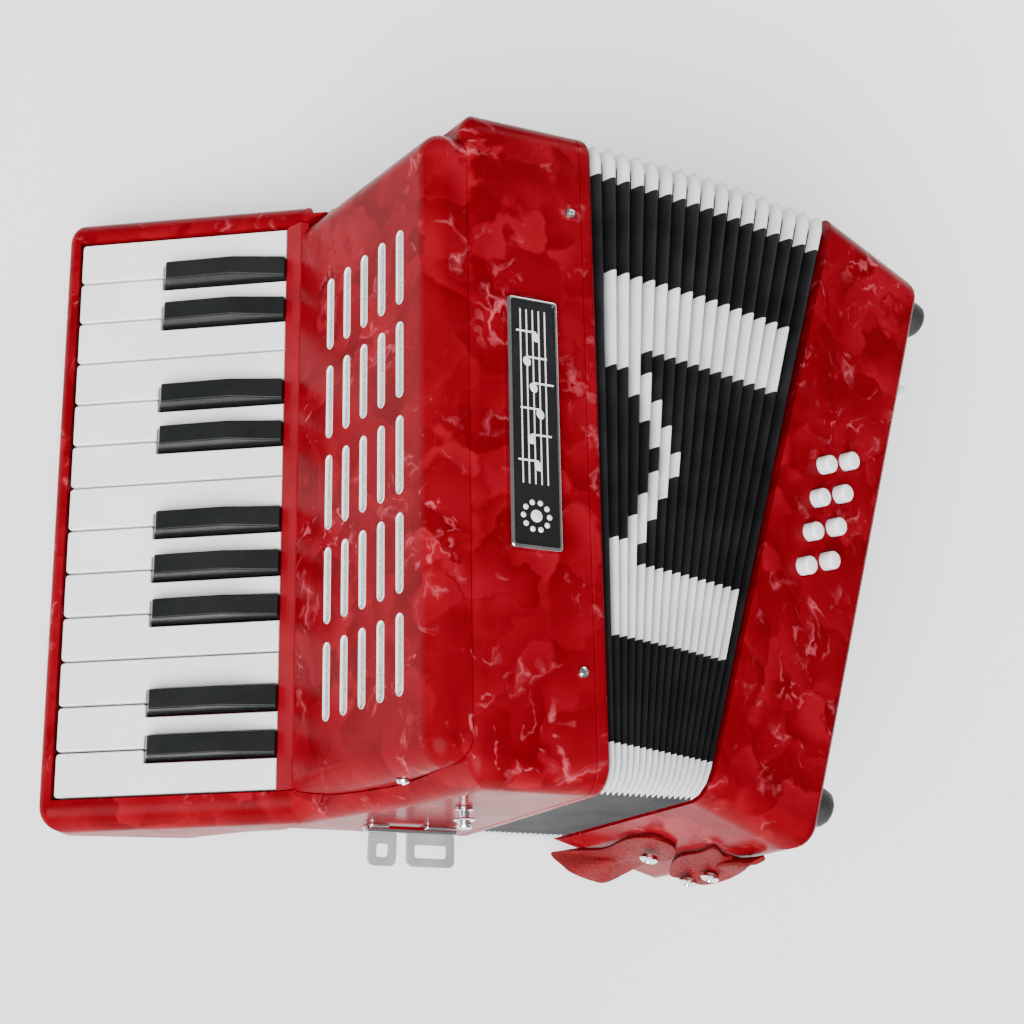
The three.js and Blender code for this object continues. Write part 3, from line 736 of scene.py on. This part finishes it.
def key_strip():
    outline = [(88.5, -1.2), (88.5, 0.2, 0.3), (95.4, 4.4, 0.6), (98.4, 3), (98.4, -1.2)]
    strip = prism(outline, -KEYS_HALF - GAP, KEYS_HALF + GAP, "y")
    obj = piece("key_strip", strip, KEYS, looks["red_lacquer"])
    joins(obj, "treble", "red_lacquer", "key_slot_strip")


# ---- bellows frames ----
def frame_outline(low, by, r):
    """A bellows frame's outline as (y, z), moved inwards, from the lower y that it starts at."""
    return rectangle(low + by, by, low + 2 * HALF - by, DEPTH - by, r)


def bellows_frames():
    """The treble one is rolled over towards the folds; the bass one runs on from the bass box's sides."""
    rolled = prism(frame_outline(-HALF, 0, 11), SEAM_X, SEAM_X + FRAME_WIDTH, "x", (0.7, 2.4), 6)
    treble = piece("treble_frame_rim", rolled, BODY, looks["pearloid"])
    cut(treble, prism(frame_outline(-HALF, 9, 5), SEAM_X - 5, SEAM_X + FRAME_WIDTH + 5, "x"), BODY)
    joins(treble, "treble", "pearloid", "treble_bellows_frame")
    bass = piece("bass_frame_rim", bass_block(0, FRAME_WIDTH), BASS, looks["pearloid"])
    cut(bass, prism(frame_outline(0, 10, 5), -5, FRAME_WIDTH + 5, "x"), BASS)
    joins(bass, "bass", "pearloid", "bass_bellows_frame")


# ---- bellows ----
CORNER_Y = 112.5
FRONT_ROWS = (-110.4, -70.9, -42.4, -34, -24, -14.6, -4.9, 4.9, 14.6, 24, 34, 43.2, 73, CORNER_Y)
BARS = ((43.2, 73), (-70.9, -42.4))
BAR_FOLDS = range(2, 17)
ARROW_HALF = 43.2
# The white arrow's steps: the distances from the middle between which each fold is white.
ARROW = {2: (34, 99), 3: (34, 99), 4: (24, 99), 5: (14.6, 34), 6: (4.9, 24), 7: (0, 14.6), 8: (0, 4.9)}
PATTERN_SLIP = 4.5  # the pattern runs down by this much across the fan
ARC = 3  # the faces round each corner of the sleeve


def is_white(fold, low, high):
    """Whether a front panel of a fold is white, from the pattern's steps of one fold each."""
    y = (low + high) / 2
    if y > CORNER_Y or y < FRONT_ROWS[0]:
        return True
    if fold in BAR_FOLDS and any(low < y < high for low, high in BARS):
        return True
    if fold not in ARROW or abs(y) > ARROW_HALF:
        return False
    near, far = ARROW[fold]
    return near <= abs(y) < far


def fold_inset(turn):
    """How deep the outside lies at a place along the folds; a whole number is a valley."""
    fullness, frame_seat = 0.62, 7.5
    rise = math.sin(math.pi * (turn % 1)) ** fullness
    deep = 1 + FOLD_DEPTH * (1 - rise)
    near_end = min(turn, FOLDS - turn)
    return min(deep, frame_seat) if near_end < 0.5 else deep


def sleeve_ring(by, share):
    """(points, kinds) round the sleeve. A kind says what lies between a point and the next."""
    r = max(11 - by, 2)
    slip = PATTERN_SLIP * share
    y1, z1 = HALF - by, DEPTH - by
    points, kinds = [], []

    def side(spots, name):
        for k, spot in enumerate(spots):
            points.append(spot)
            kinds.append((name, k))

    def arc(y, z, start):
        for k in range(1, ARC):
            t = math.radians(start - 90 * k / ARC)
            points.append((y + r * math.cos(t), z + r * math.sin(t)))
            kinds.append(("corner", k))

    front = [-y1 + r, *(row - slip for row in FRONT_ROWS), y1 - r]
    side([(y, z1) for y in front], "front")
    kinds[-1] = ("corner", 0)
    arc(y1 - r, z1 - r, 90)
    side([(y1, z1 - r), (y1, 17), (y1, by + r)], "chin")
    kinds[-1] = ("corner", 0)
    arc(y1 - r, by + r, 0)
    side([(y1 - r, by), (CORNER_Y - 2, by), (-CORNER_Y + 2, by), (-y1 + r, by)], "back")
    kinds[-1] = ("corner", 0)
    arc(-y1 + r, by + r, -90)
    side([(-y1, by + r), (-y1, 17), (-y1, z1 - r)], "foot")
    kinds[-1] = ("corner", 0)
    arc(-y1 + r, z1 - r, -180)
    return points, kinds


def sleeve_place(y, z, share):
    along = GAP / BELLOWS_CLOSED + share * (1 - 2 * GAP / BELLOWS_CLOSED)
    angle = along * REST_FAN
    up = y + HALF
    x = SEAM_X + FRAME_WIDTH + along * BELLOWS_CLOSED + up * math.sin(angle)
    return (x, -HALF + up * math.cos(angle), z), along


def bellows():
    per_fold = 8
    bm = bmesh.new()
    station = bm.verts.layers.float.new("station")

    def ring(by, share):
        points, _ = sleeve_ring(by, share)
        made = []
        for y, z in points:
            place, along = sleeve_place(y, z, share)
            vert = bm.verts.new(place)
            vert[station] = along
            made.append(vert)
        return made

    outside = [k / per_fold for k in range(FOLDS * per_fold + 1)]
    outer = [ring(fold_inset(t), t / FOLDS) for t in outside]
    inside = [k / 2 for k in range(2 * FOLDS + 1)]
    inner = []
    for t in inside:
        by = 4.5 if t % 1 else 16
        inner.append(ring(9 if t in (0, FOLDS) else by, t / FOLDS))
    _, kinds = sleeve_ring(5, 0)
    count = len(kinds)
    front_count = len(FRONT_ROWS) + 1

    def colour(kind, fold):
        name, k = kind
        if name == "corner":
            return True
        if name == "front":
            edges = [-CORNER_Y - 9, *FRONT_ROWS, CORNER_Y + 9]
            return is_white(fold, edges[k], edges[k + 1]) if k < front_count else True
        return k == {"back": -1, "chin": 1, "foot": 0}[name] or (name == "back" and k != 1)

    for rows, flip in ((outer, False), (inner, True)):
        for i, (low, high) in enumerate(zip(rows, rows[1:])):
            fold = int(outside[i] + 1e-6) + 1 if rows is outer else 0
            valley = i % per_fold in (0, per_fold - 1)
            for k in range(count):
                quad = (low[k], low[(k + 1) % count], high[(k + 1) % count], high[k])
                face = bm.faces.new(quad[::-1] if flip else quad)
                if rows is outer and not valley and colour(kinds[k], fold):
                    face.material_index = 1
                # Painted sheen: on the foot side, the faces just before each fold's crest take the lighter
                # cloth in place of light caught there.
                elif rows is outer and kinds[k][0] == "foot" and i % per_fold in (2, 3):
                    face.material_index = 2
    for a, b in ((inner[0], outer[0]), (outer[-1], inner[-1])):
        for k in range(count):
            bm.faces.new((a[k], a[(k + 1) % count], b[(k + 1) % count], b[k]))
    obj = piece("bellows_folds", bm, BODY, (looks["bellows_cloth"], bellows_white, bellows_painted_sheen), 80)
    obj.modifiers.clear()
    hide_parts("bellows")
    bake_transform(obj)
    # Each point's station is its share of the way along the fan; the stations are read back here and not used
    # further.
    stations = np.zeros(len(obj.data.vertices), np.float32)
    obj.data.attributes["station"].data.foreach_get("value", stations)


# ---- bass box ----
BUTTON_COLUMNS = (22.8, 34.8)
BUTTON_FIRST = 104.2
BUTTON_PITCH = 14.9
BUTTON_STAGGER = 7.9
BUTTON_R = 3.6
AIR_BUTTON = (210, 100)  # its (y, z) on the bass end plate


def button_places():
    for column, x in enumerate(BUTTON_COLUMNS):
        for row in range(4):
            yield x, BUTTON_FIRST + column * BUTTON_STAGGER + row * BUTTON_PITCH


def bass_block(x0, x1):
    """The rounded box between two planes of constant x; its chin end flares outwards."""
    reach = 40
    slope = math.tan(BASS_SLOPE)
    outline = [
        (-reach, 0),
        (BASS_WIDTH, 0, 5),
        (BASS_WIDTH, DEPTH - BASS_WIDTH * slope, 5),
        (-reach, DEPTH + reach * slope),
    ]
    end_round = 12
    bm = prism(outline, 0, BASS_TOP[0], "y", (end_round, end_round), 8)
    first = FRAME_WIDTH + GAP
    for vert in bm.verts:
        if vert.co.y > HALF:
            vert.co.y += (BASS_TOP[1] - BASS_TOP[0]) * max(vert.co.x - first, 0) / (BASS_WIDTH - first)
    return slice_at(slice_at(bm, x0, 1), x1, -1)


def bass_box():
    seam = BASS_WIDTH - END_PLATE
    hairline = 0.05  # the shell runs on from its frame with hardly a seam
    obj = piece("bass_shell", bass_block(FRAME_WIDTH + hairline, seam - GAP), BASS, looks["pearloid"])
    slope = math.tan(BASS_SLOPE)
    wall = 4
    outer = DEPTH - BASS_WIDTH * slope
    inside = [(0, wall), (BASS_WIDTH, wall), (BASS_WIDTH, outer - wall), (0, DEPTH - wall)]
    cut(obj, prism(inside, 6, 248, "y"), BASS)
    holes = bmesh.new()
    for x, y in button_places():
        r = BUTTON_R + 0.5
        lathe([(0, -8), (r, -8), (r, 8), (0, 8)], 24, holes, Matrix.Translation((x, y, 0)))
    cut(obj, holes, FRONT)
    joins(obj, "bass", "pearloid", "bass_casing")
    end = piece("bass_end_panel", bass_block(seam, BASS_WIDTH + 1), BASS, looks["pearloid"])
    hole = lathe([(0, -6), (3, -6), (3, 6), (0, 6)], 24, at=outward(*AIR_BUTTON, BASS_WIDTH))
    cut(end, hole, BASS)
    joins(end, "bass", "pearloid", "bass_end_plate")


def bass_button(number, x, y):
    profile = [(0, -12), (BUTTON_R, -12), (BUTTON_R, 3.6), (3.45, 4.3), (3.0, 4.8), (2.2, 5.0), (0, 5.0)]
    bm = lathe(profile, 28, at=Matrix.Translation((x, y, 0)))
    obj = piece(f"button_cap_{number}", bm, FRONT, looks["ivory"], 50)
    joins(obj, f"button_{number}", "ivory", f"bass_button_{number}")


def outward(y, z, x=BASS_WIDTH + GAP):
    """A turned piece's frame on the bass end plate, its axis pointing out."""
    return Matrix.Translation((x, y, z)) @ turn_y(math.pi / 2)


def rubber_feet():
    profile = [(0, 0), (7.7, 0), (8, 0.8), (7.9, 6.2), (7.2, 8.9), (5.6, 10.5), (3.4, 11)]
    profile += [(2.6, 10.9), (2.4, 7.5), (0, 7.5)]
    screw_profile = [(0, 7.4), (2, 7.4), (2.1, 8.1), (1.2, 8.6), (0.7, 8.2), (0, 8.1)]
    number = 0
    for z in (30, 99):
        for y in (24, BASS_TOP[1] - 12):
            number += 1
            dome = lathe(profile, 32, at=outward(y, z))
            obj = piece(f"foot_dome_{number}", dome, BASS, looks["rubber"], 50)
            joins(obj, "bass", "rubber", f"rubber_foot_{number}")
            head = lathe(screw_profile, 16, at=outward(y, z))
            joins(piece(f"foot_screw_{number}", head, BASS, looks["chrome"]), "bass", "chrome")


def air_button():
    profile = [(0, -9), (2.5, -9), (2.5, 4.3), (4.4, 4.3), (5, 4.8), (5, 7.4), (4.4, 8.3), (3, 8.6), (0, 8.4)]
    cap = lathe(profile, 28, at=outward(*AIR_BUTTON, BASS_WIDTH))
    obj = piece("air_button_cap", cap, BASS, looks["ivory"], 40)
    joins(obj, "air", "ivory", "air_button")


# ---- leather ----
def ribbon(rail, width, thick):
    """A strap over a rail of (point, normal, side): a flat section with soft edges."""
    rings = []
    across = 8
    for centre, normal, side in rail:
        ring = []
        for face in (1, -1):
            for k in range(across + 1):
                share = k / across if face > 0 else 1 - k / across
                at = width * (share - 0.5)
                crown = 1 - 0.55 * abs(2 * share - 1) ** 6
                ring.append(centre + side * at + normal * face * thick / 2 * crown)
        rings.append(ring)
    bm = bmesh.new()
    skin_rings(bm, rings)
    return bm


def hand_strap():
    y0, y1, bulge, width, thick, tab = 46, 190, 15, 42, 3, 10
    rail = []
    steps = 40
    spots = [(GAP, y0 - tab), (GAP, y0 - tab / 2)]
    for k in range(steps + 1):
        spots.append((GAP + bulge * math.sin(math.pi * k / steps) ** 1.2, y0 + (y1 - y0) * k / steps))
    spots += [(GAP, y1 + tab / 2), (GAP, y1 + tab)]
    for k, (rise, y) in enumerate(spots):
        before, after = spots[max(k - 1, 0)], spots[min(k + 1, len(spots) - 1)]
        run = Vector((after[0] - before[0], after[1] - before[1])).normalized()
        normal = Vector((run.y, -run.x, 0))
        rail.append((Vector((BASS_WIDTH + rise + thick / 2, y, 59)), normal, Vector((0, 0, 1))))
    obj = piece("hand_strap_leather", ribbon(rail, width, thick), BASS, looks["leather"], 60)
    joins(obj, "bass", "leather", "hand_strap")
    bm = bmesh.new()
    for y in (y0 - 5, y1 + 5):
        for z in (48, 70):
            lathe([(0, 2.6), (2.6, 2.6), (2.6, 3.2), (1.8, 4), (0, 4.3)], 16, bm, outward(y, z))
    rivets = joins(piece("hand_strap_rivets", bm, BASS, looks["chrome"]), "bass", "chrome")


def smooth_loop(points, each=5):
    """A closed Catmull-Rom curve through the points."""
    spots = [Vector(p) for p in points]
    count = len(spots)
    curve = []
    for i in range(count):
        a, b, c, d = (spots[(i + k) % count] for k in (-1, 0, 1, 2))
        for k in range(each):
            t = k / each
            bend = (2 * a - 5 * b + 4 * c - d) * t**2
            curve.append(0.5 * (2 * b + (c - a) * t + bend + (3 * b - a - 3 * c + d) * t**3))
    return curve


def leather_flap(name, outline, snaps, node):
    """A loose strap end: a waved sheet spanned inside a free outline, with press studs on it."""
    rim = smooth_loop(outline)
    centre = sum(rim, Vector()) / len(rim)
    bm = bmesh.new()
    rings, wave = 6, 1.2
    loops = []
    for j in range(1, rings + 1):
        share = j / rings
        loop = []
        for spot in rim:
            at = centre.lerp(spot, share)
            at.y -= wave * math.sin(0.16 * at.z + 0.25 * at.x) * share * (1.2 - share)
            loop.append(bm.verts.new(at))
        loops.append(loop)
    hub = bm.verts.new(centre)
    count = len(rim)
    for k in range(count):
        bm.faces.new((hub, loops[0][k], loops[0][(k + 1) % count]))
        for inner, outer in zip(loops, loops[1:]):
            bm.faces.new((inner[k], outer[k], outer[(k + 1) % count], inner[(k + 1) % count]))
    obj = piece(name, bm, BASS, looks["leather"], 80)
    area = sum(face.area for face in obj.data.polygons)
    obj.modifiers.clear()
    thick = obj.modifiers.new("thickness", "SOLIDIFY")
    thick.thickness = 0.0018
    thick.offset = 0
    thick.use_even_offset = True
    edge = obj.modifiers.new("edge", "BEVEL")
    edge.width = 0.0005
    edge.segments = 2
    edge.limit_method = "ANGLE"
    joins(obj, "bass", "leather", node)
    studs = bmesh.new()
    profile = [(0, -0.6), (3.6, -0.6), (3.7, 0.9), (2.9, 1.7), (1.6, 1.9), (1.3, 1.3), (0, 1.3)]
    for x, y, z in snaps:
        lathe(profile, 20, studs, down_y(x, z, y))
    studs = joins(piece(name + "_snaps", studs, BASS, looks["chrome"]), "bass", "chrome")
    flat = [(max(p[axis] for p in rim) - min(p[axis] for p in rim)) / 1000 for axis in (0, 2)]
    scale = max(1.0, math.sqrt(area / (flat[0] * flat[1] * 0.98)))  # the sheet covers its own area
    flat = (flat[0] * scale, flat[1] * scale)


FLAP_INNER = [
    (6, -1, -4), (9, -8, 5), (13, -10, 9), (20, -10, 11), (23, -10, 16), (28, -5, 24), (28, -3, 37),
    (31, -2, 51), (25, -1.4, 65), (15, -1.4, 69), (11, -1.4, 65), (10, -1.4, 51), (12, -1.4, 27),
]
FLAP_OUTER = [
    (32, -2, 54), (32, -1.4, 73), (31, -1.4, 85), (40, -1.4, 79), (48, -1.4, 84), (47, -1.4, 96),
    (45, -5, 90), (51, -5, 67), (49, -6, 51), (44, -6, 47), (40, -4, 38),
]


# ---- chrome fittings ----
FOOT_END = -HALF - GAP
ROD_Z = 32
BRACKET = (24.5, 34.5)  # the bracket plates' lower and upper z


def soften(node, width, look):
    """A CAD node that shows as it is, with its edges eased."""
    obj = frame["nodes"][node]
    obj.data.materials.clear()
    obj.data.materials.append(look)
    obj.data.shade_smooth()
    obj.data.set_sharp_from_angle(angle=math.radians(30))
    if width:
        ease = obj.modifiers.new("eased_edges", "BEVEL")
        ease.width = width / 1000
        ease.segments = 2
        ease.limit_method = "ANGLE"
        ease.angle_limit = math.radians(40)
        ease.harden_normals = True
    return obj


def down_y(x, z, y=FOOT_END):
    """A turned piece's frame on the treble foot end, its axis pointing out of it."""
    return Matrix.Translation((x, y, z)) @ Matrix.Rotation(math.pi / 2, 4, "X")


def foot_fittings():
    bm = bmesh.new()
    for x0, x1 in ((108, 116), (131, 144)):
        prism(rectangle(x0, BRACKET[0], x1, BRACKET[1], 1), FOOT_END - 1, FOOT_END, "y", (0.4, 0), 3, bm)
    for x in (109.6, 114.6, 133, 142):
        lathe([(0, 0.9), (1.6, 0.9), (1.6, 1.3), (1, 1.9), (0, 2)], 14, bm, down_y(x, BRACKET[0] + 2.1))
    joins(piece("bracket_plates", bm, BODY, looks["chrome"]), "treble", "chrome")
    start, length, r, chamfer = 107, 37.3, 1.5, 0.3
    rod = Matrix.Translation((start, FOOT_END - 1.7, ROD_Z)) @ turn_y(math.pi / 2)
    profile = [(0, 0), (r - chamfer, 0), (r, chamfer)]
    profile += [(r, length - chamfer), (r - chamfer, length), (0, length)]
    bm = lathe(profile, 20, at=rod)
    joins(piece("strap_bar_rod", bm, BODY, looks["chrome"]), "treble", "chrome", "shoulder_strap_bar")


def strap_loop(name, x0, x1, lean, node):
    low, high = FOOT_END - 15.5, FOOT_END - 2.9
    middle, margin, half = (x0 + x1) / 2, 3.2, 0.8
    ends = [(x0, low, 2.4), (x1, low, 2.4), (x1, high, 1.2), (x0, high, 1.2)]
    slot_cut = rectangle(x0 + margin, low + 3.4, x1 - margin, low + 8.4, 1)
    hinge_at = Vector((middle, high, ROD_Z)) / 1000
    swung = Matrix.Rotation(lean, 4, "X") @ Matrix.Translation(-hinge_at)
    space = BODY @ Matrix.Translation(hinge_at) @ swung
    obj = piece(name, prism(ends, ROD_Z - half, ROD_Z + half, "z", (0.4, 0.4), 3), space, dull_steel)
    cut(obj, prism(slot_cut, 25, 39, "z", steps=3), space)
    joins(obj, "treble", "chrome", node)


def snap_stud():
    profile = [(0, 0), (3.4, 0), (3.4, 1.1), (1.9, 1.5), (1.7, 4), (3.9, 4.2), (4.1, 4.7)]
    profile += [(3.6, 5.1), (2.4, 5.4), (2.3, 6.4), (2.9, 6.9), (2.7, 7.6), (1.7, 8), (0, 8)]
    obj = piece("snap_stud", lathe(profile, 28, at=down_y(124.4, 84)), BODY, looks["chrome"], 45)
    joins(obj, "treble", "chrome", "bellows_snap_stud")


def screw(name, at, space, body, r=2.6, node=None):
    profile = [(0, 0), (r, 0), (r, 0.5), (r * 0.85, 1.1), (r * 0.5, 1.45), (r * 0.42, 0.9), (0, 0.8)]
    nodes = [node] if node else []
    joins(piece(name, lathe(profile, 22, at=at), space, looks["chrome"], 35), body, "chrome", *nodes)


def screws():
    screw("cover_foot_screw", down_y(96.4, 94, COVER_LOW), BODY, "treble", 2.6, "cover_screw")
    for number, y in enumerate((91.5, -87), 1):
        screw(f"front_screw_{number}", Matrix.Translation((150, y, DEPTH)), BODY, "treble", 2.2)


# ---- all the pieces ----
keyboard_shell()
casing_shell()
grille_cover()
slot_liners()
name_plate()
ornament()
key_strip()
for key_number in range(1, WHITE_COUNT + 1):
    white_key(key_number)
for key_number, after in enumerate(BLACK_AFTER, 1):
    black_key(key_number, after)
bellows_frames()
bellows()
bass_box()
for button_number, (button_x, button_y) in enumerate(button_places(), 1):
    bass_button(button_number, button_x, button_y)
rubber_feet()
air_button()
hand_strap()
leather_flap("strap_end_inner", FLAP_INNER, [(19, -6.6, 57)], "bellows_strap_inner")
leather_flap("strap_end_outer", FLAP_OUTER, [(43, -7, 48), (44, -6.5, 63)], "bellows_strap_outer")
foot_fittings()
strap_loop("loop_outer", 108, 119.5, 0.12, "strap_loop_outer")
strap_loop("loop_inner", 123.5, 143.5, 0.02, "strap_loop_inner")
snap_stud()
screws()
for cad_name, (ease_width, finish) in {
    "grille_mesh": (0, "mesh"),
    "key_axle": (0, "chrome"),
    "treble_foundation_plate": (0, "wood"),
    "treble_reed_block": (0.3, "aluminium"),
    "bass_reed_block": (0.3, "aluminium"),
    "button_guide_board": (0, "aluminium"),
    "upper_strap_bracket": (0.5, "chrome"),
}.items():
    soften(cad_name, ease_width, looks[finish])


# ---- floor, light and camera ----
def studio():
    bpy.ops.mesh.primitive_plane_add(size=12, location=(0, 0, -0.0004))
    floor = bpy.context.object
    floor.name = "studio_floor"
    floor.data.materials.append(floor_look())
    for name, kind, place, energy, size in (
        ("skylight", "SUN", (-0.40, -0.52, 0.80), 8.6, math.radians(55)),
        ("rim", "AREA", (1.1, 1.3, 1.0), 9, 0.9),
        ("fill", "AREA", (-0.3, -1.7, 0.8), 9, 0.9),
    ):
        light = bpy.data.lights.new(name, kind)
        light.energy = energy
        setattr(light, "angle" if kind == "SUN" else "size", size)
        lamp = bpy.data.objects.new(name, light)
        lamp.location = place
        lamp.rotation_mode = "QUATERNION"
        lamp.rotation_quaternion = (-Vector(place)).to_track_quat("-Z", "Y")
        scene.collection.objects.link(lamp)
    world = bpy.data.worlds.new("studio")
    world.use_nodes = True
    sky = world.node_tree.nodes["Background"]
    sky.inputs["Color"].default_value = (1, 1, 1, 1)
    sky.inputs["Strength"].default_value = 0.22
    scene.world = world


def camera():
    lens = bpy.data.cameras.new("camera")
    lens.lens = 66.32
    lens.sensor_width = 36
    obj = bpy.data.objects.new("camera", lens)
    scene.collection.objects.link(obj)
    # The camera that was fitted to the photograph's view, in BODY.
    eye = Vector((-159.50, -230.10, 706.21)) / 1000
    ahead = Vector((0.42068, 0.29664, -0.85734)).normalized()
    side = ahead.cross(Vector((-0.11447, 0.95484, 0.27420))).normalized()
    turn = Matrix((side, side.cross(ahead), -ahead)).transposed().to_4x4()
    obj.matrix_world = BODY @ Matrix.Translation(eye) @ turn
    scene.camera = obj


studio()
camera()
